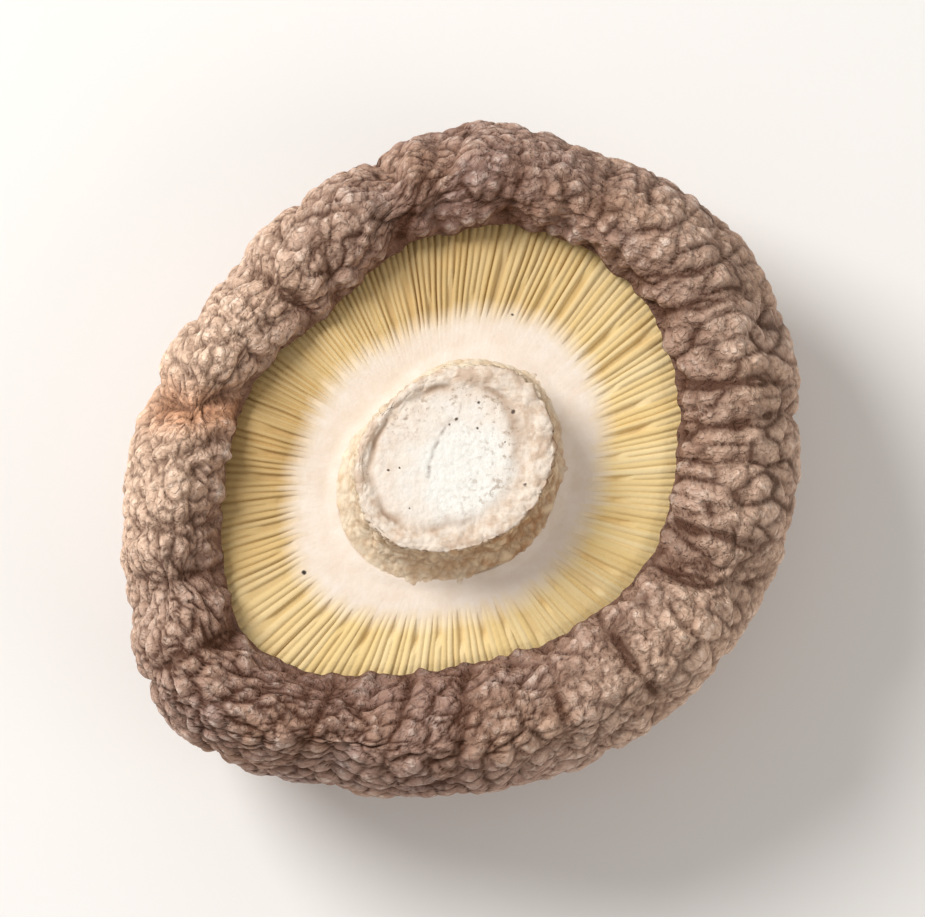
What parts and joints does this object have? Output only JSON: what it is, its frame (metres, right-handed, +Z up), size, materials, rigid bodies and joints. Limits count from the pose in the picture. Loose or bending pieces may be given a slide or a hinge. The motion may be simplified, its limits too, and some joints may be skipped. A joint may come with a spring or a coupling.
{
  "type": "dried shiitake mushroom",
  "caption": "Dried shiitake lying on its wrinkled domed cap, with a rolled rim round a bed of fine gills and a short cut stem facing up.",
  "frame": {"origin": "middle of the mushroom's outline, on the surface that its dome rests on", "axes": "+Z up through the cut stem, +X to the right and +Y to the top of the picture's view of the gills"},
  "size_m": [0.0549, 0.0563, 0.0234],
  "materials": {
    "cap_skin": "dry, wrinkled and matte",
    "gill_edge": "dry and matte",
    "stem_flesh": "dry, fibrous and matte"
  },
  "bodies": {
    "root": {"cap": "cap_skin", "gills": "gill_edge", "stem": "stem_flesh"}
  },
  "joints": []
}
